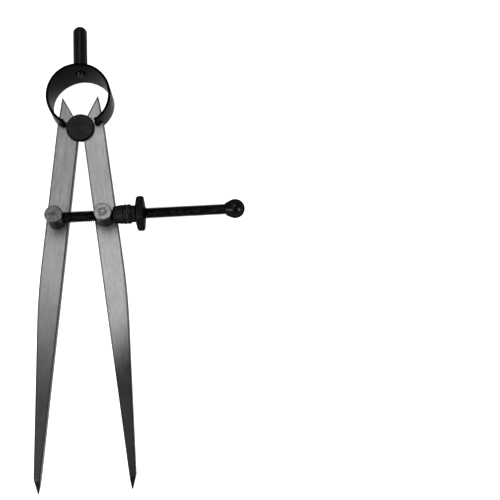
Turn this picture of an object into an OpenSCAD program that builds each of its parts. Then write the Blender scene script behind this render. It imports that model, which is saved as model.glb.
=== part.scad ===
// Spring dividers: two flat legs on a fulcrum, closed by a bow spring and set by a screw with a split nut.
// Millimetres. The tool lies flat with its points toward -Y, its screw along X and its stud heads up.

/* [Legs] */
// Distance from the fulcrum axis to a point
leg_length = 152; // [130:1:180]
// Width of a leg along its parallel length
leg_w = 9.2; // [8.6:0.1:10.2]
// Thickness of a leg
leg_t = 3.5; // [3:0.1:4.2]
// Distance of a leg's inner edge from the fulcrum axis
leg_in = 0.75; // [0.4:0.05:1]
// Angle of each leg from the middle line
half_opening = 6.5; // [5.5:0.1:8]
// Distance from the fulcrum axis to the corner where the taper starts
taper_start = 73.5; // [65:0.5:80]
// Radius that rounds that corner
taper_r = 280; // [150:10:300]
// Width of a leg where its point starts
point_w = 2.6; // [2:0.1:3.4]
// Length of the point seen from the front
point_len = 5.5; // [4:0.1:8]
// Length of the point's ground front and back
point_grind = 6; // [5:0.5:9]
// Width and thickness left at the very tip
point_tip = 0.3; // [0.2:0.05:0.5]
// Distance of the tip from the leg's inner edge
point_in = 0.4; // [0.3:0.05:0.8]
// Angle between a horn's inner edge and the leg's inner edge
horn_angle = 34; // [32:0.5:35]
// Distance from the fulcrum axis to a horn's tip
horn_r = 16.1; // [14.5:0.1:16.5]

/* [Bow spring] */
// Outside diameter of the bow
bow_d = 27.5; // [27:0.1:28.2]
// Thickness of the band
bow_t = 1.1; // [1:0.1:1.3]
// Width of the band at the crown
bow_w = 18; // [16:0.5:19]
// Width of the band at its ends
bow_end_w = 10; // [8:0.1:11]
// Distance that the ends' middle stands in front of the crown's middle
bow_end_rise = 1.25; // [0.5:0.05:2]
// Depth of the crown that has the full width
bow_flat = 2; // [1:0.1:4]
// Distance from the fulcrum axis to the bow's centre
bow_up = 13.2; // [12.9:0.1:13.4]
// Angle from the crown to each end of the band
bow_end = 147; // [146:0.5:149]
// Diameter of the round bead on each end of the band
bead_d = 1.7; // [1.5:0.1:1.9]
// Gap between the band and the slot in a leg
slot_gap = 0.2; // [0.15:0.05:0.3]

/* [Handle] */
// Diameter of the stem
handle_d = 6.1; // [5.6:0.1:7]
// Length of the stem from the crown of the bow to the top of its dome
handle_len = 21.3; // [18:0.1:28]
// Height of the dome on the stem's end
dome_h = 2.4; // [1.6:0.1:2.6]
// Length of the relief at the stem's shoulder
relief_len = 1; // [0.8:0.1:1.5]
// Depth of that relief
relief_h = 0.3; // [0.2:0.05:0.4]
// Diameter of the tenon that goes through the bow
tenon_d = 3.6; // [3:0.1:4]
// Diameter of the riveted head inside the bow
rivet_d = 5.4; // [4.6:0.1:6]
// Height of the riveted head
rivet_h = 0.9; // [0.6:0.1:1.2]

/* [Fulcrum] */
// Diameter of the front disc
disc_d = 12; // [11:0.1:12.4]
// Thickness of the front disc
disc_t = 1.4; // [1:0.1:2]
// Diameter of the core that the legs turn on
core_d = 6.4; // [5.6:0.1:6.8]
// Diameter of the back washer
back_d = 9; // [8:0.1:10]
// Thickness of the back washer
back_t = 1.2; // [0.8:0.1:1.6]
// Diameter of the core's riveted tail
tail_d = 4; // [3:0.1:5]

/* [Studs] */
// Diameter of a stud's head
stud_d = 7.4; // [7:0.1:7.8]
// Height of a stud's head
stud_h = 9.9; // [9.2:0.1:10.6]
// Distance from the fulcrum axis to a stud, along the leg
stud_along = 41.5; // [36:0.5:46]
// Diameter of a stud's shank in the leg
shank_d = 4; // [3.4:0.1:4.4]
// Thickness of a stud's back washer
stud_washer_t = 1; // [0.8:0.1:1.4]
// Diameter of the pip in the right stud's top
pip_d = 1.2; // [0.8:0.1:1.8]

/* [Adjusting screw] */
// Outside diameter of the thread
screw_d = 4.83; // [4.6:0.01:5]
// Pitch of the thread
screw_pitch = 0.794; // [0.6:0.002:1]
// Depth of the thread
thread_h = 0.48; // [0.4:0.02:0.5]
// Height of the screw's axis above the legs
screw_z = 4.3; // [4.1:0.1:4.6]
// Distance from the left stud to the ball's centre
ball_x = 74; // [68:0.5:80]
// Diameter of the ball
ball_d = 8; // [7.6:0.1:8.6]
// Distance from the start of the ball's neck to the ball's centre
ball_neck = 4; // [3.8:0.1:4.4]
// Length of the neck's cone
neck_cone = 2.5; // [2.2:0.1:3]
// Diameter of the cone where it runs into the ball
neck_cone_d = 7.5; // [6.6:0.1:7.6]

/* [Nut and cup washer] */
// Length of the cup washer
cup_len = 4.2; // [4:0.1:5]
// Diameter of the cup washer beside the stud
cup_d0 = 7; // [6.6:0.1:7.4]
// Diameter of the cup washer beside the nut
cup_d1 = 8; // [7.8:0.1:8.4]
// Length of the nut's nose in the cup
nose_len = 2; // [1.5:0.1:2.4]
// Diameter of the nose at its tip
nose_d0 = 6.2; // [6:0.1:6.4]
// Diameter of the nose at its root
nose_d1 = 7; // [6.8:0.1:7.2]
// Diameter of the nut's hub
hub_d = 8.1; // [7.9:0.1:8.6]
// Length of the hub
hub_len = 3.3; // [2.8:0.1:4]
// Diameter of the neck
neck_d = 7; // [6.6:0.1:7.4]
// Length of the neck
neck_len = 1.6; // [1.2:0.1:2]
// Diameter of the flange
flange_d = 14.6; // [13.6:0.1:15.6]
// Width of the flange's knurled rim
rim_w = 2.3; // [1.8:0.1:3]
// Depth of each cone from hub to rim
flange_cone = 1; // [0.6:0.1:1.2]
// Number of ribs on the rim
knurl_n = 60; // [40:1:72]
// Depth of the ribs
knurl_h = 0.25; // [0.15:0.05:0.35]
// Gap between the two halves
split_gap = 0.3; // [0.2:0.05:0.4]
// Diameter of the ring's wire
wire_d = 0.7; // [0.5:0.05:0.8]
// Angle left open in the ring
ring_open = 30; // [20:1:50]

/* [Edges] */
// Chamfer on the edges that show
edge = 0.4; // [0.2:0.05:0.5]
// Chamfer on the back washers and on the hub
small_edge = 0.3; // [0.15:0.05:0.35]
// Width left at a horn's tip
horn_tip = 0.2; // [0.1:0.05:0.4]

/* [Fits] */
// Radial gap where one piece turns or slides on another
run_gap = 0.08; // [0.05:0.01:0.1]
// Gap between faces that slide on each other
face_gap = 0.1; // [0.08:0.01:0.15]
// Gap between pieces riveted together
rivet_gap = 0.02; // [0.01:0.01:0.04]

/* [Hidden] */
$fn = 96;
bow_r = bow_d / 2;
bow_r_in = bow_r - bow_t;
bead_x = (bow_r - bow_t / 2) * sin(bow_end);
bead_y = bow_up + (bow_r - bow_t / 2) * cos(bow_end);
crown_y = bow_up + bow_r;
leg_z = (bow_w + leg_t) / 2;
dome_r = (pow(handle_d / 2, 2) + pow(dome_h, 2)) / (2 * dome_h);
leg_out = leg_in + leg_w;
leg_mid = leg_in + leg_w / 2;
stud_x = stud_along * sin(half_opening) + leg_mid * cos(half_opening);
stud_y = -stud_along * cos(half_opening) + leg_mid * sin(half_opening);
axis_z = leg_z + screw_z;
taper_k = (leg_w - point_w) / (leg_length - point_len - taper_start);
taper_bend = atan(taper_k);
taper_run = taper_r * tan(taper_bend / 2);
horn_x = horn_r * sin(horn_angle);
horn_y = horn_r * cos(horn_angle);
cup_x = stud_x + stud_d / 2 + face_gap / 2;
seam_x = cup_x + cup_len;
bore_r = screw_d / 2 + run_gap;
neck_x = hub_len + neck_len;
rim_x = neck_x + flange_cone;
nut_len = rim_x + rim_w + flange_cone / 2 + small_edge;
rim_r = flange_d / 2 - knurl_h - small_edge;
groove_w = wire_d + 2 * rivet_gap;
ring_x = hub_len / 2;
ball_cx = ball_x - stud_x;
x_low = -((leg_length - point_len) * sin(half_opening) + (leg_in + point_w) * cos(half_opening));
x_high = ball_cx + ball_d / 2;
tip_x = leg_in + point_in;
y_low = -leg_length * cos(half_opening) + (tip_x - point_tip / 2) * sin(half_opening);
y_high = crown_y + handle_len;

// Puts the middle of the tool's lowest face at the origin
module placed() {
  translate([-(x_low + x_high) / 2, -(y_low + y_high) / 2, 0]) children();
}

// Turns a shape drawn along Z so that it lies along the screw, starting at x
module on_screw(x) {
  translate([x, stud_y, axis_z]) rotate([0, 90, 0]) children();
}

module handle() {
  color("#26262a") placed() {
    difference() {
      union() {
        translate([0, bow_up, bow_w / 2]) rotate([-90, 0, 0])
          cylinder(d = handle_d - 2 * relief_h, h = bow_r + 2 * relief_len);
        translate([0, crown_y + relief_len, bow_w / 2]) rotate([-90, 0, 0])
          cylinder(d = handle_d, h = handle_len - relief_len - dome_h);
        intersection() {
          translate([0, y_high - dome_r, bow_w / 2]) sphere(r = dome_r);
          translate([0, y_high - dome_r, bow_w / 2]) rotate([-90, 0, 0]) cylinder(d = handle_d, h = dome_r);
        }
      }
      translate([0, bow_up, -1]) cylinder(r = bow_r + rivet_gap, h = bow_w + 2);
    }
    translate([0, bow_up + bow_r_in - rivet_h / 2, bow_w / 2]) rotate([-90, 0, 0])
      cylinder(d = tenon_d, h = bow_t + rivet_h);
    intersection() {
      translate([0, bow_up + bow_r_in - rivet_h, bow_w / 2]) rotate([-90, 0, 0])
        cylinder(d1 = tenon_d, d2 = rivet_d, h = rivet_h * 2);
      translate([0, bow_up, -1]) cylinder(r = bow_r_in - rivet_gap, h = bow_w + 2);
    }
  }
}

// The bow seen from the front: an open ring with a bead on each end
module bow_outline() {
  difference() {
    translate([0, bow_up]) circle(r = bow_r);
    translate([0, bow_up]) circle(r = bow_r_in);
    polygon([[0, bow_up], [bead_x * 2, bow_up + (bead_y - bow_up) * 2],
      [-bead_x * 2, bow_up + (bead_y - bow_up) * 2]]);
  }
  for (side = [-1, 1]) translate([side * bead_x, bead_y]) circle(d = bead_d);
}

// The bow seen from its edge: full width at the crown, narrower and further forward toward the beads
module bow_side() {
  end_y = bead_y - bead_d / 2;
  end_z = bow_w / 2 + bow_end_rise;
  polygon([[end_y, end_z - bow_end_w / 2], [crown_y - bow_flat, 0], [crown_y + 1, 0],
    [crown_y + 1, bow_w], [crown_y - bow_flat, bow_w], [end_y, end_z + bow_end_w / 2]]);
}

module bow_spring() {
  color("#2c2c30") placed() difference() {
    intersection() {
      linear_extrude(bow_w) bow_outline();
      translate([-bow_d, 0, 0]) rotate([90, 0, 90]) linear_extrude(2 * bow_d) bow_side();
    }
    translate([0, bow_up, bow_w / 2]) rotate([-90, 0, 0])
      cylinder(d = tenon_d + 2 * rivet_gap, h = bow_r + 1);
  }
}

// A round head with its top edge chamfered
module head(d, h) {
  rotate_extrude() polygon([[0, 0], [d / 2, 0], [d / 2, h - edge], [d / 2 - edge, h], [0, h]]);
}

module fulcrum_stud() {
  tail_h = back_t + face_gap;
  color("#232327") placed() {
    translate([0, 0, leg_z + face_gap]) head(disc_d, disc_t);
    translate([0, 0, leg_z - leg_t - face_gap]) cylinder(d = core_d, h = leg_t + 3 * face_gap);
    translate([0, 0, leg_z - leg_t]) mirror([0, 0, 1]) rotate_extrude() polygon([[0, 0], [tail_d / 2, 0],
      [tail_d / 2, tail_h], [tail_d / 2 - small_edge, tail_h + small_edge], [0, tail_h + small_edge]]);
  }
}

// A washer riveted behind a leg, with its lower edge chamfered
module back_washer(d, t, hole_d) {
  translate([0, 0, leg_z - leg_t - face_gap - t]) difference() {
    rotate_extrude()
      polygon([[0, 0], [d / 2 - small_edge, 0], [d / 2, small_edge], [d / 2, t], [0, t]]);
    translate([0, 0, -1]) cylinder(d = hole_d + 2 * rivet_gap, h = t + 2);
  }
}

module fulcrum_washer() {
  color("#2a2a2e") placed() back_washer(back_d, back_t, tail_d);
}

// The right leg as seen from the front, with its edges along Y and the fulcrum axis at the origin
module leg_outline() {
  difference() {
    polygon([[leg_in, leg_in / tan(horn_angle)], [leg_in, -leg_length + point_len / 2],
      [tip_x - point_tip / 2, -leg_length], [tip_x + point_tip / 2, -leg_length],
      [leg_in + point_w, -leg_length + point_len], [leg_out, -taper_start],
      [leg_out, 0], [horn_x + horn_tip, horn_y], [horn_x, horn_y]]);
    difference() {
      polygon([[leg_out, -taper_start + taper_run], [leg_out + 1, -taper_start],
        [leg_out - taper_run * sin(taper_bend), -taper_start - taper_run * cos(taper_bend)]]);
      translate([leg_out - taper_r, -taper_start + taper_run]) circle(r = taper_r, $fn = 360);
    }
    circle(d = core_d + 2 * run_gap);
  }
}

// The same leg seen from its edge, which shows how the point is ground
module leg_side() {
  polygon([[horn_y + 1, 0], [-leg_length + point_grind, 0], [-leg_length, leg_t / 2 - point_tip / 2],
    [-leg_length, leg_t / 2 + point_tip / 2], [-leg_length + point_grind, leg_t], [horn_y + 1, leg_t]]);
}

// The slot that takes the end of the bow in the right leg
module slot_outline() {
  intersection() {
    difference() {
      translate([0, bow_up]) circle(r = bow_r + slot_gap);
      translate([0, bow_up]) circle(r = bow_r_in - slot_gap);
    }
    polygon([[0, bow_up], [bead_x * 2, bow_up + (bead_y - bow_up) * 2], [2 * bow_r, 0], [2 * bow_r, bow_up]]);
  }
  translate([bead_x, bead_y]) circle(d = bead_d + 2 * slot_gap);
}

module leg_solid() {
  difference() {
    translate([0, 0, leg_z - leg_t]) rotate([0, 0, half_opening]) difference() {
      intersection() {
        linear_extrude(leg_t) leg_outline();
        translate([-1, 0, 0]) rotate([90, 0, 90]) linear_extrude(leg_out + 2) leg_side();
      }
      translate([leg_mid, -stud_along, -1]) cylinder(d = shank_d + 2 * run_gap, h = leg_t + 2);
    }
    translate([0, 0, -1]) linear_extrude(bow_w + 2) slot_outline();
  }
}

module left_leg() {
  color("#a4a5a6") placed() mirror([1, 0, 0]) leg_solid();
}

module right_leg() {
  color("#a9aaab") placed() leg_solid();
}

// A stud with its head on the leg, its shank through the leg and a cross hole for the screw
module stud_solid(hole_d) {
  difference() {
    union() {
      translate([0, 0, leg_z + face_gap]) head(stud_d, stud_h);
      translate([0, 0, leg_z - leg_t - face_gap - stud_washer_t])
        cylinder(d = shank_d, h = leg_t + stud_washer_t + 3 * face_gap);
    }
    translate([-stud_d, 0, axis_z]) rotate([0, 90, 0]) cylinder(d = hole_d, h = 2 * stud_d);
  }
}

module left_stud() {
  color("#8e8f92") placed() translate([-stud_x, stud_y, 0]) stud_solid(screw_d + 2 * rivet_gap);
}

module left_stud_washer() {
  color("#7d7e81") placed() translate([-stud_x, stud_y, 0]) back_washer(stud_d, stud_washer_t, shank_d);
}

module right_stud() {
  color("#8e8f92") placed() translate([stud_x, stud_y, 0]) difference() {
    stud_solid(screw_d + 2 * run_gap);
    translate([0, 0, leg_z + face_gap + stud_h - pip_d / 2]) cylinder(d1 = 0, d2 = 2 * pip_d, h = pip_d);
  }
}

module right_stud_washer() {
  color("#7d7e81") placed() translate([stud_x, stud_y, 0]) back_washer(stud_d, stud_washer_t, shank_d);
}

module adjusting_screw() {
  screw_len = ball_x + stud_d / 2 - edge;
  turns = floor((screw_len - ball_neck - edge) / screw_pitch);
  r = screw_d / 2;
  color("#303034") placed() on_screw(edge - stud_x - stud_d / 2) rotate_extrude() polygon(concat([[0, 0]],
    [for (i = [0:turns - 1]) each [[r - thread_h, i * screw_pitch], [r, (i + 0.5) * screw_pitch]]],
    [[r - thread_h, turns * screw_pitch], [r - thread_h, screw_len], [0, screw_len]]));
}

module end_ball() {
  color("#252529") placed() on_screw(ball_cx - ball_neck) difference() {
    union() {
      translate([0, 0, ball_neck]) sphere(d = ball_d);
      cylinder(d1 = screw_d + small_edge, d2 = neck_cone_d, h = neck_cone);
    }
    translate([0, 0, -1]) cylinder(d = screw_d - 2 * thread_h + 2 * rivet_gap, h = 1 + ball_neck + face_gap);
  }
}

module cup_washer() {
  color("#29292d") placed() on_screw(cup_x) difference() {
    rotate_extrude() polygon([[0, 0], [cup_d0 / 2 - edge, 0], [cup_d0 / 2, edge],
      [cup_d1 / 2, cup_len - edge / 2], [cup_d1 / 2 - edge / 2, cup_len], [0, cup_len]]);
    translate([0, 0, -1]) cylinder(r = bore_r, h = cup_len + 2);
    translate([0, 0, cup_len - nose_len - face_gap])
      cylinder(d1 = nose_d0 + 2 * face_gap, d2 = nose_d1 + 2 * face_gap, h = nose_len + 2 * face_gap);
  }
}

// The whole nut before it is split, drawn along Z from the seam with the cup washer
module nut_solid() {
  difference() {
    union() {
      rotate_extrude() polygon([[0, -nose_len], [nose_d0 / 2, -nose_len], [nose_d1 / 2, 0],
        [hub_d / 2 - small_edge, face_gap], [hub_d / 2, face_gap + small_edge],
        [hub_d / 2, hub_len - small_edge], [neck_d / 2, hub_len], [neck_d / 2, neck_x],
        [rim_r, rim_x - small_edge], [rim_r, rim_x + rim_w + small_edge],
        [neck_d / 2, nut_len], [0, nut_len]]);
      translate([0, 0, rim_x]) linear_extrude(rim_w) polygon([for (i = [0:2 * knurl_n - 1])
        (flange_d / 2 - (i % 2) * knurl_h) * [cos(i * 180 / knurl_n), sin(i * 180 / knurl_n)]]);
    }
    translate([0, 0, -nose_len - 1]) cylinder(r = bore_r, h = nut_len + nose_len + 2);
    translate([0, 0, ring_x - groove_w / 2]) rotate_extrude()
      translate([hub_d / 2 - groove_w, 0]) square([groove_w + 1, groove_w]);
  }
}

// Half of the nut on one side of the split, side = 1 for the upper half
module nut_half(side) {
  intersection() {
    on_screw(seam_x) nut_solid();
    translate([cup_x, stud_y - flange_d, axis_z + side * (split_gap + flange_d) / 2 - flange_d / 2])
      cube([cup_len + nut_len + 1, 2 * flange_d, flange_d]);
  }
}

module nut_upper_half() {
  color("#242428") placed() nut_half(1);
}

module nut_lower_half() {
  color("#27272b") placed() nut_half(-1);
}

module nut_ring() {
  color("#4a4a4f") placed() on_screw(seam_x + ring_x) rotate([0, 0, ring_open / 2])
    rotate_extrude(angle = 360 - ring_open) translate([(hub_d - groove_w) / 2, 0]) circle(d = wire_d);
}

handle();
bow_spring();
fulcrum_stud();
fulcrum_washer();
left_leg();
right_leg();
left_stud();
left_stud_washer();
right_stud();
right_stud_washer();
adjusting_screw();
end_ball();
cup_washer();
nut_upper_half();
nut_lower_half();
nut_ring();
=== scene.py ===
"""Spring dividers lying on their back, finished in ground steel and black oxide.

Metres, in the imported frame: points toward -Y, adjusting screw along X, stud heads up.
"""

from math import asin, cos, floor, hypot, pi, radians, sin, tau

import bmesh
import bpy
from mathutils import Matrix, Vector


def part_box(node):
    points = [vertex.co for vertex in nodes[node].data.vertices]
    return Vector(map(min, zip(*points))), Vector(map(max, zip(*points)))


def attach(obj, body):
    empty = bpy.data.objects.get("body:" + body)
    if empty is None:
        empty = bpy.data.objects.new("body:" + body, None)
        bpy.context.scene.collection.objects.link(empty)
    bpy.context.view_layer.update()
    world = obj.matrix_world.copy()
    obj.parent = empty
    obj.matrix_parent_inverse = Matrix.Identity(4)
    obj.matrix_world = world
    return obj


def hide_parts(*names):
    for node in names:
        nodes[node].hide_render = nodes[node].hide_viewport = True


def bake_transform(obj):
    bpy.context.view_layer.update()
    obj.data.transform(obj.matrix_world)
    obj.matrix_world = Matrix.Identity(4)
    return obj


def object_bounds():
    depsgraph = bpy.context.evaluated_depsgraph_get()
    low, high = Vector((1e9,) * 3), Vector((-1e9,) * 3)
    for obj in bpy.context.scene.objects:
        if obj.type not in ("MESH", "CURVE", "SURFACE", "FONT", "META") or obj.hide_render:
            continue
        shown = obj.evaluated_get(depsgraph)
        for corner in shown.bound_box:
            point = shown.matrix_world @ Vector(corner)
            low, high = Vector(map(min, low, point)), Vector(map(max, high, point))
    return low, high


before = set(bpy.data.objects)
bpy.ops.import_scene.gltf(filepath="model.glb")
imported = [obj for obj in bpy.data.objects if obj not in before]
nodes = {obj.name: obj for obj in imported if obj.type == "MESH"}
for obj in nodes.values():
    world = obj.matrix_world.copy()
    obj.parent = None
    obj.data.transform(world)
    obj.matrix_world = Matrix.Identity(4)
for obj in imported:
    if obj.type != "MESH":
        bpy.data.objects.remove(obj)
cad_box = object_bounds()

MM = 0.001


# Sizes of the pieces that are modelled here

BOW_R = 13.75 * MM
BOW_T = 1.1 * MM
BOW_MID_R = BOW_R - BOW_T / 2
BOW_W = 18 * MM
BOW_END_W = 10 * MM
BOW_END_RISE = 1.25 * MM
BOW_FLAT = 2 * MM
BOW_END = radians(147)
BOW_STEP = radians(2)
BOW_EDGE = 0.2 * MM
# The most of half the strip's thickness that its round edges take
BOW_EDGE_MOST = 0.9
BEAD_R = 0.85 * MM
BEAD_TIP = radians(8)
BEAD_STEPS = 10

PITCH = 0.794 * MM
THREAD_R = 2.415 * MM
THREAD_H = 0.48 * MM
THREAD_STEPS = 32
# Share of the pitch and of the thread's height, from one root to the next
THREAD_PROFILE = [(0.0, 0.0), (0.12, 0.0), (0.5, 1.0), (0.62, 1.0)]
# Turns wound before the screw begins, and turns wound in all beyond its length
THREAD_LEAD = 1.5
THREAD_SPARE = 3

NUT_BORE_R = 2.495 * MM
NOSE_LEN = 2 * MM
NOSE_R0 = 3.1 * MM
NOSE_R1 = 3.5 * MM
HUB_R = 4.05 * MM
HUB_LEN = 3.3 * MM
NUT_NECK_R = 3.5 * MM
NUT_NECK_LEN = 1.6 * MM
FLANGE_R = 7.3 * MM
RIM_W = 2.3 * MM
FLANGE_CONE = 1 * MM
KNURL_N = 60
KNURL_H = 0.25 * MM
KNURL_ROWS = 14
# The ridges rise to their full height within one part in this many of the rim
KNURL_RISE = 12
NUT_EDGE = 0.3 * MM
SPLIT_GAP = 0.3 * MM
GROOVE_W = 0.74 * MM
FACE_GAP = 0.1 * MM
NUT_STEPS = 240

HALF_OPENING = radians(6.5)
POINT_FROM = 146.9 * MM
DISC_R = 6 * MM
STUD_EDGE = 0.4 * MM
STUD_PIP_R = 0.6 * MM

CORNER_STEPS = 3
CREASE = radians(32)
CUT_TOLERANCE = 1e-9


def middle(node):
    low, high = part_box(node)
    return (low + high) / 2


FULCRUM = middle("fulcrum_stud")
BOW_MID = Vector((FULCRUM.x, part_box("bow_spring")[1].y - BOW_R, BOW_W / 2))
SCREW_LOW, SCREW_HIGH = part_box("adjusting_screw")
SCREW_Y = (SCREW_LOW.y + SCREW_HIGH.y) / 2
SCREW_Z = (SCREW_LOW.z + SCREW_HIGH.z) / 2
NUT_SEAM_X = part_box("cup_washer")[1].x
LEG_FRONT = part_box("right_leg")[1].z


# Meshes

def piece(name, mesh, finish):
    """A new object from a bmesh, smooth except across creases."""
    bmesh.ops.recalc_face_normals(mesh, faces=mesh.faces)
    data = bpy.data.meshes.new(name)
    mesh.to_mesh(data)
    mesh.free()
    data.shade_smooth()
    data.set_sharp_from_angle(angle=CREASE)
    data.materials.append(finish)
    made = bpy.data.objects.new(name, data)
    bpy.context.scene.collection.objects.link(made)
    return made


def loft(mesh, rings):
    """Joins equal closed rings of points into a closed tube with flat ends."""
    rows = [[mesh.verts.new(point) for point in ring] for ring in rings]
    count = len(rows[0])
    for row, after in zip(rows, rows[1:]):
        for i in range(count):
            k = (i + 1) % count
            mesh.faces.new((row[i], row[k], after[k], after[i]))
    mesh.faces.new(rows[0])
    mesh.faces.new(rows[-1])


def rounded_section(half_t, half_w, round_r):
    """Points of a rectangle with round corners, as (across, along) pairs."""
    points = []
    for corner, (u, v) in enumerate([(1, 1), (-1, 1), (-1, -1), (1, -1)]):
        for i in range(CORNER_STEPS + 1):
            turn = (corner + i / CORNER_STEPS) * pi / 2
            points.append((u * (half_t - round_r) + round_r * cos(turn),
                           v * (half_w - round_r) + round_r * sin(turn)))
    return points


def bow_taper(up):
    """The band's taper at a height above the bow's centre: 0 at the crown, 1 at the ends."""
    full_to = BOW_R - BOW_FLAT
    ends_at = BOW_MID_R * cos(BOW_END) - BEAD_R
    return min(1, max(0, (full_to - up) / (full_to - ends_at)))


def bow_half(name, side, finish):
    """One side of the bow, from the crown to the bead that hooks into a leg."""
    bead_from = pi - asin(BOW_T / 2 / BEAD_R)
    band_end = BOW_END + BEAD_R * cos(bead_from) / BOW_MID_R
    count = round(band_end / BOW_STEP)
    stations = [(band_end * i / count, BOW_T / 2) for i in range(count)]
    for i in range(BEAD_STEPS + 1):
        turn = bead_from * (1 - i / BEAD_STEPS) + BEAD_TIP * i / BEAD_STEPS
        stations.append((BOW_END + BEAD_R * cos(turn) / BOW_MID_R, BEAD_R * sin(turn)))
    rings = []
    for angle, half_t in stations:
        out = Vector((side * sin(angle), cos(angle), 0))
        taper = bow_taper(BOW_MID_R * cos(angle))
        half_w = (BOW_W + (BOW_END_W - BOW_W) * taper) / 2
        rise = BOW_END_RISE * taper
        ring = []
        for t, w in rounded_section(half_t, half_w, min(BOW_EDGE, half_t * BOW_EDGE_MOST)):
            ring.append(BOW_MID + out * (BOW_MID_R + t) + Vector((0, 0, rise + w)))
        rings.append(ring)
    mesh = bmesh.new()
    loft(mesh, rings)
    return piece(name, mesh, finish)


def close_end(mesh, x):
    """Closes the open end of a turned mesh at x with a fan of triangles."""
    rim = [e for e in mesh.edges if e.is_boundary and abs(e.verts[0].co.x - x) < PITCH / 4]
    centre = mesh.verts.new((x, SCREW_Y, SCREW_Z))
    for edge in rim:
        mesh.faces.new((edge.verts[0], edge.verts[1], centre))


def adjusting_thread(name, finish):
    """The adjusting screw: one helical thread, cut square, chamfered at the end with no ball."""
    low, high = SCREW_LOW.x, SCREW_HIGH.x
    root_r = THREAD_R - THREAD_H
    per_step = len(THREAD_PROFILE)
    steps = (floor((high - low) / PITCH) + THREAD_SPARE) * THREAD_STEPS
    mesh = bmesh.new()
    points = []
    for step in range(steps + 1):
        turn = tau * step / THREAD_STEPS
        for share, rise in THREAD_PROFILE:
            r = root_r + THREAD_H * rise
            x = low + (step / THREAD_STEPS + share - THREAD_LEAD) * PITCH
            points.append(mesh.verts.new((x, SCREW_Y + r * cos(turn), SCREW_Z + r * sin(turn))))
    # Past the last point of one step comes the first point one whole turn on
    for step in range(steps - THREAD_STEPS):
        for i in range(per_step):
            here = step * per_step + i
            there = here + 1 if i + 1 < per_step else (step + THREAD_STEPS) * per_step
            mesh.faces.new([points[k] for k in (here, there, there + per_step, here + per_step)])
    for x, way in ((low, -1), (high, 1)):
        everything = mesh.verts[:] + mesh.edges[:] + mesh.faces[:]
        bmesh.ops.bisect_plane(mesh, geom=everything, dist=CUT_TOLERANCE, plane_co=(x, 0, 0),
                               plane_no=(way, 0, 0), clear_outer=True)
    for vert in mesh.verts:
        r = hypot(vert.co.y - SCREW_Y, vert.co.z - SCREW_Z)
        most = min(root_r + vert.co.x - low, THREAD_R)
        shrink = min(1, most / r)
        vert.co.y = SCREW_Y + (vert.co.y - SCREW_Y) * shrink
        vert.co.z = SCREW_Z + (vert.co.z - SCREW_Z) * shrink
    close_end(mesh, low)
    close_end(mesh, high)
    return piece(name, mesh, finish)


def ridge(turns):
    """A triangle wave that is 0 at whole turns and 1 halfway."""
    return 1 - abs(2 * (turns % 1) - 1)


def knurl(angle, x):
    """Height of the rim's crossed ridges, from 0 to 1, with x from 0 to 1 across the rim."""
    slope = RIM_W / (tau * FLANGE_R) * KNURL_N / 2
    around = KNURL_N * angle / tau
    fade = min(1, KNURL_RISE * x, KNURL_RISE * (1 - x))
    return fade * min(ridge(around + slope * x), ridge(around - slope * x))


def nut_profile():
    """The nut's outline from bore to rim and back: (distance from the seam, radius, across).

    On the knurled rim, across goes from 0 to 1. Elsewhere it is None.
    """
    neck_x = HUB_LEN + NUT_NECK_LEN
    rim_x = neck_x + FLANGE_CONE
    end_x = rim_x + RIM_W + FLANGE_CONE / 2 + NUT_EDGE
    rim_foot = FLANGE_R - KNURL_H - NUT_EDGE
    groove = HUB_LEN / 2 - GROOVE_W / 2
    outline = [(-NOSE_LEN, NUT_BORE_R), (-NOSE_LEN, NOSE_R0), (0, NOSE_R1),
               (FACE_GAP, HUB_R - NUT_EDGE), (FACE_GAP + NUT_EDGE, HUB_R),
               (groove, HUB_R), (groove, HUB_R - GROOVE_W),
               (groove + GROOVE_W, HUB_R - GROOVE_W), (groove + GROOVE_W, HUB_R),
               (HUB_LEN - NUT_EDGE, HUB_R), (HUB_LEN, NUT_NECK_R), (neck_x, NUT_NECK_R),
               (rim_x - NUT_EDGE, rim_foot)]
    profile = [(x, r, None) for x, r in outline]
    for i in range(KNURL_ROWS + 1):
        across = i / KNURL_ROWS
        profile.append((rim_x + RIM_W * across, FLANGE_R - KNURL_H, across))
    tail = [(rim_x + RIM_W + NUT_EDGE, rim_foot), (end_x, NUT_NECK_R), (end_x, NUT_BORE_R)]
    return profile + [(x, r, None) for x, r in tail]


def nut_half(name, side, finish):
    """Half of the split nut, with its flat faces half the gap from the screw's axis."""
    profile = nut_profile()
    rings = []
    for step in range(NUT_STEPS + 1):
        share = step / NUT_STEPS
        ring = []
        for x, r, across in profile:
            if across is not None:
                r += KNURL_H * knurl(pi * share, across)
            start = asin(SPLIT_GAP / 2 / r)
            turn = start + (pi - 2 * start) * share
            ring.append((NUT_SEAM_X + x, SCREW_Y + r * cos(turn), SCREW_Z + side * r * sin(turn)))
        rings.append(ring)
    mesh = bmesh.new()
    loft(mesh, rings)
    return piece(name, mesh, finish)


# Shader nodes

TOP_LEVEL = 255
SCREEN_GAMMA = 2.2


def feed(tree, socket, value):
    """Links another node's output to a socket, or sets the socket to a number or colour."""
    if isinstance(value, bpy.types.NodeSocket):
        tree.links.new(value, socket)
    else:
        socket.default_value = value


def put(tree, kind, values=None, **settings):
    """Adds a node. values gives its inputs: numbers, colours or other nodes' outputs."""
    made = tree.nodes.new("ShaderNode" + kind)
    for name, setting in settings.items():
        setattr(made, name, setting)
    for name, value in (values or {}).items():
        feed(tree, made.inputs[name], value)
    return made


def sums(tree, operation, *values):
    """The result of a Math node."""
    return put(tree, "Math", dict(enumerate(values)), operation=operation).outputs[0]


def weighed(tree, *parts):
    """The sum of (mask, share) parts."""
    total = sums(tree, "MULTIPLY", *parts[0])
    for mask, share in parts[1:]:
        total = sums(tree, "MULTIPLY_ADD", mask, share, total)
    return total


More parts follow.
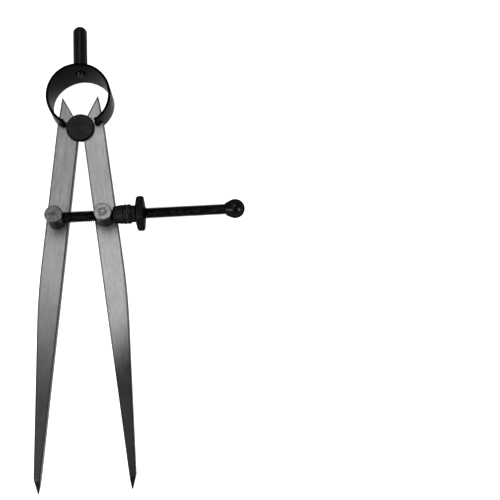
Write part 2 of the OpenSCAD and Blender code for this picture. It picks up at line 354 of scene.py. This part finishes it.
def vectors(tree, operation, *values):
    """The result of a Vector Math node: a number for a length or a dot product, else a vector."""
    made = put(tree, "VectorMath", dict(enumerate(values)), operation=operation)
    return made.outputs["Value" if operation in ("LENGTH", "DOT_PRODUCT") else "Vector"]


def along(tree, vector, axis):
    """One coordinate of a vector."""
    return put(tree, "SeparateXYZ", {0: vector}).outputs[axis]


def own(tree, kind):
    """The surface's own coordinates: Object, Normal or Generated."""
    return put(tree, "TexCoord").outputs[kind]


def ramp(tree, value, low, high, out_low=0.0, out_high=1.0, smooth=False):
    """Maps low..high to out_low..out_high, held at both ends."""
    kind = "SMOOTHSTEP" if smooth else "LINEAR"
    values = {"Value": value, "From Min": low, "From Max": high,
              "To Min": out_low, "To Max": out_high}
    return put(tree, "MapRange", values, interpolation_type=kind).outputs["Result"]


def mixed(tree, share, first, second):
    """A colour between two colours."""
    made = put(tree, "Mix", data_type="RGBA")
    sockets = {socket.name: socket for socket in made.inputs if socket.enabled}
    for name, value in (("Factor", share), ("A", first), ("B", second)):
        feed(tree, sockets[name], value)
    return next(socket for socket in made.outputs if socket.enabled)


def noise(tree, vector, scale, detail=2.0, roughness=0.5):
    values = {"Vector": vector, "Scale": scale, "Detail": detail, "Roughness": roughness}
    return put(tree, "TexNoise", values).outputs["Fac"]


def grey(level, warmth=0.0):
    """A linear colour from a screen level of 0 to 255, a little warmer or cooler than neutral."""
    linear = (level / TOP_LEVEL) ** SCREEN_GAMMA
    return (linear * (1 + warmth), linear, linear * (1 - warmth), 1.0)


def greys(tree, tone, level, spread, warmths=(0.0, 0.0)):
    """Greys around a screen level: spread and warmths are those of the darkest and the lightest."""
    darkest, lightest = (grey(level + step, warmth) for step, warmth in zip(spread, warmths))
    return mixed(tree, tone, darkest, lightest)


def group(name, inputs, outputs):
    """A node group with named sockets: (tree, what comes in, the node that takes what goes out)."""
    tree = bpy.data.node_groups.new(name, "ShaderNodeTree")
    for label, kind in inputs:
        tree.interface.new_socket(label, in_out="INPUT", socket_type="NodeSocket" + kind)
    for label, kind in outputs:
        tree.interface.new_socket(label, in_out="OUTPUT", socket_type="NodeSocket" + kind)
    source = tree.nodes.new("NodeGroupInput")
    sink = tree.nodes.new("NodeGroupOutput")
    return tree, source.outputs, sink


def give(tree, sink, **results):
    """Joins results to a group's outputs."""
    for name, result in results.items():
        tree.links.new(result, sink.inputs[name])


# Effects that the finishes share. A span says where a mask starts and where it is full.

EDGE_SPAN = (0.998, 0.93)
EDGE_SAMPLES = 8
PATCH_SPAN = (0.4, 0.62)
STREAK_SPAN = (0.36, 0.64)
FINE_STREAKS = 4.3
RING_SPAN = (0.3, 0.7)
DARK_SPAN = (1.0, 0.2)
MOTTLE_SPAN = (0.32, 0.68)
GRAINS_PER_CLOUD = 22.0


def edge_wear_group():
    """Edges rubbed a little round: a mask of the edges, and one of where they are rubbed bright."""
    tree, given, sink = group(
        "Edge Wear", [("Vector", "Vector"), ("Radius", "Float"), ("Breakup", "Float")],
        [("Edge", "Float"), ("Wear", "Float"), ("Normal", "Vector")])
    bevel = put(tree, "Bevel", {"Radius": given["Radius"]}, samples=EDGE_SAMPLES)
    rounded = bevel.outputs["Normal"]
    flat = put(tree, "NewGeometry").outputs["Normal"]
    edge = ramp(tree, vectors(tree, "DOT_PRODUCT", rounded, flat), *EDGE_SPAN)
    rubbed = noise(tree, given["Vector"], given["Breakup"], detail=3.0, roughness=0.6)
    wear = sums(tree, "MULTIPLY", edge, ramp(tree, rubbed, *PATCH_SPAN))
    give(tree, sink, Edge=edge, Wear=wear, Normal=rounded)
    return tree


def brushed_grain_group():
    """Strokes of a grinding belt; Strokes gives how many fit in a metre along each axis."""
    tree, given, sink = group(
        "Brushed Grain", [("Vector", "Vector"), ("Strokes", "Vector")],
        [("Streaks", "Float"), ("Height", "Float")])
    scaled = vectors(tree, "MULTIPLY", given["Vector"], given["Strokes"])
    broad = noise(tree, scaled, 1.0, detail=3.0, roughness=0.65)
    fine = noise(tree, scaled, FINE_STREAKS, detail=2.0, roughness=0.6)
    streaks = weighed(tree, (broad, 0.6), (fine, 0.4))
    give(tree, sink, Streaks=ramp(tree, streaks, *STREAK_SPAN), Height=fine)
    return tree


def turned_rings_group():
    """Rings that a lathe tool leaves around the Z axis, with one broad dark ring."""
    tree, given, sink = group(
        "Turned Rings", [("Vector", "Vector"), ("Ring Width", "Float"), ("Dark Radius", "Float"),
                         ("Dark Width", "Float")],
        [("Rings", "Float"), ("Dark", "Float"), ("Reach", "Float")])
    flat = vectors(tree, "MULTIPLY", given["Vector"], (1.0, 1.0, 0.0))
    reach = vectors(tree, "LENGTH", flat)
    turns = sums(tree, "DIVIDE", reach, given["Ring Width"])
    cuts = put(tree, "TexNoise", {"W": turns, "Scale": 1.0, "Detail": 2.0}, noise_dimensions="1D")
    rings = ramp(tree, cuts.outputs["Fac"], *RING_SPAN)
    off = sums(tree, "ABSOLUTE", sums(tree, "SUBTRACT", reach, given["Dark Radius"]))
    dark = ramp(tree, sums(tree, "DIVIDE", off, given["Dark Width"]), *DARK_SPAN, smooth=True)
    give(tree, sink, Rings=rings, Dark=dark, Reach=reach)
    return tree


def oxide_mottle_group():
    """The cloudy, grainy skin of a hot oxide bath; Clouds gives how many fit in a metre."""
    tree, given, sink = group(
        "Oxide Mottle", [("Vector", "Vector"), ("Clouds", "Float")],
        [("Tone", "Float"), ("Height", "Float")])
    clouds = noise(tree, given["Vector"], given["Clouds"], detail=3.0, roughness=0.55)
    grains = noise(tree, given["Vector"], sums(tree, "MULTIPLY", given["Clouds"], GRAINS_PER_CLOUD))
    tone = weighed(tree, (clouds, 0.75), (grains, 0.25))
    give(tree, sink, Tone=ramp(tree, tone, *MOTTLE_SPAN), Height=grains)
    return tree


EDGE_WEAR = edge_wear_group()
BRUSHED_GRAIN = brushed_grain_group()
TURNED_RINGS = turned_rings_group()
OXIDE_MOTTLE = oxide_mottle_group()


def place(tree, effect, **values):
    """Places a node group; argument names have underscores for the spaces in its inputs."""
    made = put(tree, "Group", node_tree=effect)
    for name, value in values.items():
        feed(tree, made.inputs[name.replace("_", " ")], value)
    return made.outputs


def metal(name, sheen=1.0):
    """A new metal finish: (material, its tree, the piece's own coordinates, its shader)."""
    made = bpy.data.materials.new(name)
    made.use_nodes = True
    tree = made.node_tree
    shader = tree.nodes["Principled BSDF"]
    shader.inputs["Metallic"].default_value = 1.0
    shader.inputs["Specular Tint"].default_value = (sheen, sheen, sheen, 1.0)
    return made, tree, own(tree, "Object"), shader


def coat(tree, shader, colour, roughness, height, depth, normal):
    """Joins a finish's colour, roughness and relief to its shader."""
    relief = {"Height": height, "Strength": 1.0, "Distance": depth, "Normal": normal}
    tree.links.new(colour, shader.inputs["Base Color"])
    tree.links.new(roughness, shader.inputs["Roughness"])
    tree.links.new(put(tree, "Bump", relief).outputs["Normal"], shader.inputs["Normal"])


# Ground steel of the legs, with places measured along a leg from the fulcrum

LONG_STROKES = (1500.0, 60.0, 1500.0)
SHORT_STROKES = (1500.0, 420.0, 1500.0)
LEG_CLOUDS = 160.0
LEG_EDGE = 1.2 * MM
LEG_BREAKUP = 700.0
LEG_GRAIN = 0.012 * MM
LEG_ROUGHNESS = (0.5, 0.4)
LEG_WARMTHS = (0.012, 0.008)
BRIGHT_SPREAD = (-17, 15)
SHADED_SPREAD = (-32, 0)
# Painted shade: the face is darker toward the fulcrum, where it reflects less light
FULCRUM_SHADE_SPAN = (58 * MM, 40 * MM)
HEAT_RAGGED = 5 * MM
BURNT_SPREAD = (-6, 6)
BURNT_WARMTHS = (0.0, 0.01)
POINT_SPAN = (POINT_FROM, POINT_FROM + 0.6 * MM)
POINT_LEVEL = 34
FLANK_SPAN = (0.7, 0.4)
FLANK_LEVEL = 64
FLANK_SPREAD = (-12, 12)
# Painted shade: the level of a dark line along the leg's edges
LEG_EDGE_SHADE_LEVEL = 40
LEG_EDGE_SHADE_SPREAD = (-8, 8)


def leg_steel(name, side, level, burnt_level, fade_from, fade_to, slant):
    """Belt-ground faces between dark sides, with painted shade along the edges and toward the
    fulcrum.

    Heat darkens the faces from fade_from to fade_to metres along the leg, at a slant across it.
    """
    made, tree, place_on, shader = metal(name)
    turned = {"Vector": place_on, "Location": FULCRUM, "Rotation": (0.0, 0.0, side * HALF_OPENING)}
    on_leg = put(tree, "Mapping", turned, vector_type="TEXTURE").outputs["Vector"]
    grain = place(tree, BRUSHED_GRAIN, Vector=on_leg, Strokes=LONG_STROKES)
    dashes = place(tree, BRUSHED_GRAIN, Vector=on_leg, Strokes=SHORT_STROKES)
    mottle = place(tree, OXIDE_MOTTLE, Vector=on_leg, Clouds=LEG_CLOUDS)
    wear = place(tree, EDGE_WEAR, Vector=place_on, Radius=LEG_EDGE, Breakup=LEG_BREAKUP)
    tone = weighed(tree, (grain["Streaks"], 0.28), (dashes["Streaks"], 0.45),
                   (mottle["Tone"], 0.27))
    down = sums(tree, "MULTIPLY", along(tree, on_leg, "Y"), -1.0)
    across = sums(tree, "MULTIPLY", along(tree, on_leg, "X"), side * slant)
    fading = sums(tree, "ADD", down, across)
    fading = sums(tree, "MULTIPLY_ADD", grain["Streaks"], HEAT_RAGGED, fading)
    heat = ramp(tree, fading, fade_from, fade_to, smooth=True)
    # Painted shade: a darker copy of the face toward the fulcrum
    fulcrum_shade = ramp(tree, down, *FULCRUM_SHADE_SPAN, smooth=True)
    point = ramp(tree, down, *POINT_SPAN)
    upward = sums(tree, "ABSOLUTE", along(tree, own(tree, "Normal"), "Z"))
    flank = ramp(tree, upward, *FLANK_SPAN)
    bright = greys(tree, tone, level, BRIGHT_SPREAD, LEG_WARMTHS)
    shaded_face = greys(tree, tone, level, SHADED_SPREAD, LEG_WARMTHS)
    burnt = greys(tree, mottle["Tone"], burnt_level, BURNT_SPREAD, BURNT_WARMTHS)
    colour = mixed(tree, heat, mixed(tree, fulcrum_shade, bright, shaded_face), burnt)
    colour = mixed(tree, point, colour, grey(POINT_LEVEL))
    colour = mixed(tree, flank, colour, greys(tree, tone, FLANK_LEVEL, FLANK_SPREAD))
    # Painted shade: darker along the edges, standing in for edges that reflect a dark surrounding
    edge = greys(tree, mottle["Tone"], LEG_EDGE_SHADE_LEVEL, LEG_EDGE_SHADE_SPREAD)
    colour = mixed(tree, wear["Edge"], colour, edge)
    roughness = ramp(tree, grain["Streaks"], 0.0, 1.0, *LEG_ROUGHNESS)
    coat(tree, shader, colour, roughness, grain["Height"], LEG_GRAIN, wear["Normal"])
    return made


# Blackened steel

OXIDE_SHEEN = 0.65
OXIDE_CLOUDS = 260.0
OXIDE_EDGE = 0.15 * MM
OXIDE_BREAKUP = 900.0
OXIDE_GRAIN = 0.006 * MM
OXIDE_LEVEL = 36
OXIDE_SPREAD = (-5, 5)
OXIDE_WARMTHS = (-0.02, -0.01)
SATIN_SPREAD = 0.06
WORN_LEVEL = 84
BAND_SHEEN = 0.57
SHEARED_SPAN = (0.1, 0.3)
SHEARED_LEVEL = 12
OUTSIDE_SPAN = (-1 * MM, 1 * MM)
# Where the painted shade on the inside of the bow's crown begins and where it is full
CROWN_SHADE_SPAN = (0.0, 0.8 * BOW_R)
DISC_RINGS = 0.6 * MM
# Width and level of the painted shade on the disc's rim
DISC_RIM_SHADE_W = 0.6 * MM
RIM_SHADE_LEVEL = 8
NUT_SHEEN = 0.35
NUT_CLOUDS = 500.0
NUT_RIM_SPAN = (HUB_R, FLANGE_R - KNURL_H)


def blackened(name, sheen=OXIDE_SHEEN, clouds=OXIDE_CLOUDS):
    """A new blackened finish: what metal gives, then its mottled skin and its edges."""
    made, tree, place_on, shader = metal(name, sheen)
    mottle = place(tree, OXIDE_MOTTLE, Vector=place_on, Clouds=clouds)
    wear = place(tree, EDGE_WEAR, Vector=place_on, Radius=OXIDE_EDGE, Breakup=OXIDE_BREAKUP)
    return made, tree, place_on, shader, mottle, wear


def oxide_skin(tree, tone, level):
    """The colour of a blackened face around a screen level."""
    return greys(tree, tone, level, OXIDE_SPREAD, OXIDE_WARMTHS)


def oxide_coat(tree, shader, colour, roughness, tone, mottle, wear):
    """Joins a blackened finish to its shader, a little smoother where its tone is light."""
    satin = ramp(tree, tone, 0.0, 1.0, roughness + SATIN_SPREAD, roughness - SATIN_SPREAD)
    coat(tree, shader, colour, satin, mottle["Height"], OXIDE_GRAIN, wear["Normal"])


def black_oxide(name, roughness, level=OXIDE_LEVEL, worn=0.5, worn_level=WORN_LEVEL, **skin):
    """Blackened steel: a dark satin skin, rubbed thin on its edges."""
    made, tree, _, shader, mottle, wear = blackened(name, **skin)
    rubbed = sums(tree, "MULTIPLY", wear["Wear"], worn)
    colour = mixed(tree, rubbed, oxide_skin(tree, mottle["Tone"], level), grey(worn_level))
    oxide_coat(tree, shader, colour, roughness, mottle["Tone"], mottle, wear)
    return made


def band_oxide(name, roughness, crown_shade_level, side_sheen_level, outer_sheen_level):
    """Blackened spring strip with dark sheared edges; painted sheen lightens the outside and the
    inner sides, and painted shade darkens the inner crown.
    """
    made, tree, place_on, shader, mottle, wear = blackened(name, BAND_SHEEN)
    normal = own(tree, "Normal")
    sheared = ramp(tree, sums(tree, "ABSOLUTE", along(tree, normal, "Z")), *SHEARED_SPAN)
    from_axis = vectors(tree, "SUBTRACT", place_on, BOW_MID)
    outside = ramp(tree, vectors(tree, "DOT_PRODUCT", from_axis, normal), *OUTSIDE_SPAN)
    # Painted shade darker toward the inner crown; painted sheen lighter on the inner sides and the
    # outside
    crown = ramp(tree, along(tree, from_axis, "Y"), *CROWN_SHADE_SPAN, smooth=True)
    sides = oxide_skin(tree, mottle["Tone"], side_sheen_level)
    inner = mixed(tree, crown, sides, oxide_skin(tree, mottle["Tone"], crown_shade_level))
    outer_sheen = oxide_skin(tree, mottle["Tone"], outer_sheen_level)
    colour = mixed(tree, sheared, mixed(tree, outside, inner, outer_sheen), grey(SHEARED_LEVEL))
    oxide_coat(tree, shader, colour, roughness, mottle["Tone"], mottle, wear)
    return made


def disc_oxide(name, node, roughness, level, rim_r):
    """A blackened disc, faced on a lathe, with painted shade darkening its rim."""
    made, tree, place_on, shader, mottle, wear = blackened(name)
    centred = vectors(tree, "SUBTRACT", place_on, middle(node))
    rings = place(tree, TURNED_RINGS, Vector=centred, Ring_Width=DISC_RINGS,
                  Dark_Radius=rim_r, Dark_Width=DISC_RIM_SHADE_W)
    tone = weighed(tree, (mottle["Tone"], 0.6), (rings["Rings"], 0.4))
    # Painted shade: a dark ring at the rim
    colour = mixed(tree, rings["Dark"], oxide_skin(tree, tone, level), grey(RIM_SHADE_LEVEL))
    oxide_coat(tree, shader, colour, roughness, tone, mottle, wear)
    return made


def nut_oxide(name, roughness, hub_level, rim_level):
    """The nut's blackened skin, darker on the knurled rim."""
    made, tree, place_on, shader, mottle, wear = blackened(name, NUT_SHEEN, NUT_CLOUDS)
    from_axis = vectors(tree, "SUBTRACT", place_on, (0.0, SCREW_Y, SCREW_Z))
    reach = vectors(tree, "LENGTH", vectors(tree, "MULTIPLY", from_axis, (0.0, 1.0, 1.0)))
    rim_share = ramp(tree, reach, *NUT_RIM_SPAN)
    hub = oxide_skin(tree, mottle["Tone"], hub_level)
    rim = oxide_skin(tree, mottle["Tone"], rim_level)
    colour = mixed(tree, wear["Wear"], mixed(tree, rim_share, hub, rim), grey(WORN_LEVEL))
    oxide_coat(tree, shader, colour, roughness, mottle["Tone"], mottle, wear)
    return made


# Turned steel of the studs, and drawn wire

STUD_SHEEN = 0.82
STUD_CLOUDS = 420.0
STUD_RINGS = 0.28 * MM
STUD_CUT = 0.012 * MM
STUD_ROUGHNESS = (0.46, 0.34)
STUD_SPREAD = (-38, 22)
STUD_WARMTHS = (0.01, 0.01)
STUD_SKIN_SPREAD = (-7, 7)
# Depths below the stud's top where its faced part begins and where it is whole
FACED_DEPTHS = (STUD_EDGE * 0.9, STUD_EDGE * 0.5)
PIP_HIGHLIGHT_SPAN = (STUD_PIP_R * 1.1, STUD_PIP_R)
BLOTCHES = 800.0
BLOTCH_SPAN = (0.35, 0.65)
# How strong a stain is from the darkest blotch to the lightest, and its share of the stud's level
STAIN_SHARES = (0.9, 0.3)
STAIN_LEVEL = 0.55

WIRE_CLOUDS = 900.0
WIRE_EDGE = 0.1 * MM
WIRE_BREAKUP = 1200.0
WIRE_GRAIN = 0.004 * MM
WIRE_LEVEL = 49
WIRE_SPREAD = (-9, 9)
WIRE_ROUGHNESS = (0.42, 0.3)


def stud_steel(name, node, level, skin_and_shade_level, dark_radius, dark_width, pip_highlight_level=None):
    """A blackened stud with its top faced bright on a lathe."""
    made, tree, place_on, shader, mottle, wear = blackened(name, STUD_SHEEN, STUD_CLOUDS)
    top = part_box(node)[1].z
    centred = vectors(tree, "SUBTRACT", place_on, middle(node))
    rings = place(tree, TURNED_RINGS, Vector=centred, Ring_Width=STUD_RINGS,
                  Dark_Radius=dark_radius, Dark_Width=dark_width)
    faced = ramp(tree, along(tree, place_on, "Z"), *(top - depth for depth in FACED_DEPTHS))
    blotches = ramp(tree, noise(tree, place_on, BLOTCHES), *BLOTCH_SPAN)
    tone = weighed(tree, (blotches, 0.5), (rings["Rings"], 0.5))
    bright = greys(tree, tone, level, STUD_SPREAD, STUD_WARMTHS)
    stain = sums(tree, "MULTIPLY", rings["Dark"], ramp(tree, blotches, 0.0, 1.0, *STAIN_SHARES))
    bright = mixed(tree, stain, bright, grey(level * STAIN_LEVEL))
    # The sides' dark skin, set per stud, is partly oxide and partly painted shade
    skin = greys(tree, mottle["Tone"], skin_and_shade_level, STUD_SKIN_SPREAD)
    colour = mixed(tree, faced, skin, bright)
    # Painted highlight: the centre pip gets a light colour so it shows bright instead of shaded
    if pip_highlight_level is not None:
        pip_highlight = ramp(tree, rings["Reach"], *PIP_HIGHLIGHT_SPAN)
        colour = mixed(tree, pip_highlight, colour, grey(pip_highlight_level, STUD_WARMTHS[1]))
    roughness = ramp(tree, rings["Rings"], 0.0, 1.0, *STUD_ROUGHNESS)
    coat(tree, shader, colour, roughness, rings["Rings"], STUD_CUT, wear["Normal"])
    return made


def wire_steel(name):
    """Dark drawn spring wire."""
    made, tree, place_on, shader = metal(name)
    mottle = place(tree, OXIDE_MOTTLE, Vector=place_on, Clouds=WIRE_CLOUDS)
    wear = place(tree, EDGE_WEAR, Vector=place_on, Radius=WIRE_EDGE, Breakup=WIRE_BREAKUP)
    colour = greys(tree, mottle["Tone"], WIRE_LEVEL, WIRE_SPREAD)
    roughness = ramp(tree, mottle["Tone"], 0.0, 1.0, *WIRE_ROUGHNESS)
    coat(tree, shader, colour, roughness, mottle["Height"], WIRE_GRAIN, wear["Normal"])
    return made


# Finishes and pieces

oxide_satin = black_oxide("black oxide satin", roughness=0.42)
oxide_thread = black_oxide("black oxide thread", roughness=0.4, level=20, worn=0.7, worn_level=96,
                           sheen=0.4, clouds=500.0)
# The bow's crown, side and outer levels are painted shade and painted sheen
oxide_bow = band_oxide("black oxide bow", roughness=0.36, crown_shade_level=27, side_sheen_level=36,
                       outer_sheen_level=41)
oxide_nut = nut_oxide("black oxide nut", roughness=0.4, hub_level=39, rim_level=21)

FINISHES = {
    "handle": black_oxide("black oxide stem", roughness=0.26),
    "fulcrum_stud": disc_oxide("black oxide disc", "fulcrum_stud", roughness=0.42,
                               level=OXIDE_LEVEL, rim_r=DISC_R),
    "fulcrum_washer": oxide_satin,
    "cup_washer": oxide_nut,
    "end_ball": black_oxide("black oxide ball", roughness=0.2, level=34, sheen=0.4),
    # Painted light: the same steel is lighter on the right leg and darker on the left, as each leg
    # catches the light
    "left_leg": leg_steel("ground steel left leg", side=-1, level=141, burnt_level=69,
                          fade_from=57 * MM, fade_to=123 * MM, slant=0.0),
    "right_leg": leg_steel("ground steel right leg", side=1, level=155, burnt_level=54,
                           fade_from=85 * MM, fade_to=113 * MM, slant=0.6),
    # The studs' side levels differ as painted shade: the right stud's sides are darker
    "left_stud": stud_steel("turned steel left stud", "left_stud", level=87, skin_and_shade_level=38,
                            dark_radius=0.0, dark_width=1.7 * MM),
    # The right stud's centre pip gets a painted highlight
    "right_stud": stud_steel("turned steel right stud", "right_stud", level=121, skin_and_shade_level=25,
                             dark_radius=1.45 * MM, dark_width=0.8 * MM, pip_highlight_level=160),
    "left_stud_washer": oxide_satin,
    "right_stud_washer": oxide_satin,
    "nut_ring": wire_steel("spring wire"),
}
for node, finish in FINISHES.items():
    for slot in nodes[node].material_slots:
        slot.material = finish

for label, side, body in (("left", -1, "left_leg_body"), ("right", 1, "right_leg_body")):
    half = bow_half(f"bow_{label}_half", side, oxide_bow)
    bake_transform(half)
    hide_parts("bow_spring")

thread = adjusting_thread("adjusting_thread", oxide_thread)
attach(thread, "screw_body")
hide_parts("adjusting_screw")

for label, side in (("upper", 1), ("lower", -1)):
    half = nut_half(f"knurled_nut_{label}", side, oxide_nut)
    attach(half, "nut_body")
    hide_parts(f"nut_{label}_half")


# Floor, light and camera

WHITE = (1.0, 1.0, 1.0, 1.0)
FLOOR_R = 3.0
FLOOR_STEPS = 96
FLOOR_DROP = 0.1 * MM
FLOOR_COLOUR = (0.6, 0.6, 0.6, 1.0)
# How much the floor glows on the tool, and toward the camera
FLOOR_GLOW = (0.6, 0.92)
# How high the sky begins and ends to dim, and how much it glows there
SKY_SPAN = (0.1, 0.8)
SKY_GLOW = (0.65, 0.36)
# The camera's place is measured from the fulcrum axis and the legs' front
CAMERA_FROM = Vector((62.939, -163.358, 399.464)) * MM
CAMERA_TURN = (14.868, -0.070, -3.119)
CAMERA_LENS = 72.12
SENSOR_W = 36.0
CLIP_START = 0.01


def white_floor():
    """A pale floor that shows white with a faint shadow, and throws less light back at the tool."""
    made = bpy.data.materials.new("pale floor")
    made.use_nodes = True
    tree = made.node_tree
    tree.nodes.clear()
    paper = put(tree, "BsdfDiffuse", {"Color": FLOOR_COLOUR}).outputs[0]
    seen = put(tree, "LightPath").outputs["Is Camera Ray"]
    strength = ramp(tree, seen, 0.0, 1.0, *FLOOR_GLOW)
    glow = put(tree, "Emission", {"Color": WHITE, "Strength": strength}).outputs[0]
    put(tree, "OutputMaterial", {"Surface": put(tree, "AddShader", {0: paper, 1: glow}).outputs[0]})
    mesh = bmesh.new()
    bmesh.ops.create_circle(mesh, cap_ends=True, segments=FLOOR_STEPS, radius=FLOOR_R)
    floor_piece = piece("floor", mesh, made)
    floor_piece.location.z = cad_box[0].z - FLOOR_DROP


def studio_world():
    """Soft light that is brightest toward the horizon; the backdrop shows pale."""
    world = bpy.data.worlds.new("studio")
    bpy.context.scene.world = world
    world.use_nodes = True
    tree = world.node_tree
    tree.nodes.clear()
    up = along(tree, own(tree, "Generated"), "Z")
    glow = ramp(tree, up, *SKY_SPAN, *SKY_GLOW, smooth=True)
    seen = put(tree, "LightPath").outputs["Is Camera Ray"]
    soft = put(tree, "Background", {"Color": WHITE, "Strength": glow}).outputs[0]
    pale = put(tree, "Background", {"Color": WHITE, "Strength": 1.0}).outputs[0]
    surface = put(tree, "MixShader", {0: seen, 1: soft, 2: pale}).outputs[0]
    put(tree, "OutputWorld", {"Surface": surface})


def soft_light(name, stand, aim, size, power):
    """A square soft box that stands in one place and faces another."""
    data = bpy.data.lights.new(name, "AREA")
    data.size = size
    data.energy = power
    lamp = bpy.data.objects.new(name, data)
    lamp.location = stand
    lamp.rotation_euler = (Vector(aim) - Vector(stand)).to_track_quat("-Z", "Y").to_euler()
    bpy.context.scene.collection.objects.link(lamp)


def photo_camera():
    data = bpy.data.cameras.new("camera")
    data.lens = CAMERA_LENS
    data.sensor_width = SENSOR_W
    data.clip_start = CLIP_START
    made = bpy.data.objects.new("camera", data)
    made.location = Vector((FULCRUM.x, FULCRUM.y, LEG_FRONT)) + CAMERA_FROM
    made.rotation_euler = [radians(angle) for angle in CAMERA_TURN]
    bpy.context.scene.collection.objects.link(made)
    bpy.context.scene.camera = made


bpy.context.scene.view_settings.view_transform = "Standard"
white_floor()
studio_world()
soft_light("overhead soft box", stand=(-0.06, 0.18, 0.50), aim=(-0.01, 0.0, 0.0),
           size=0.3, power=0.63)
soft_light("left soft box", stand=(-0.40, -0.25, 0.38), aim=(0.0, 0.0, 0.01),
           size=0.24, power=1.8)
soft_light("right soft box", stand=(0.42, -0.20, 0.30), aim=(0.0, 0.0, 0.01),
           size=0.22, power=1.4)
photo_camera()
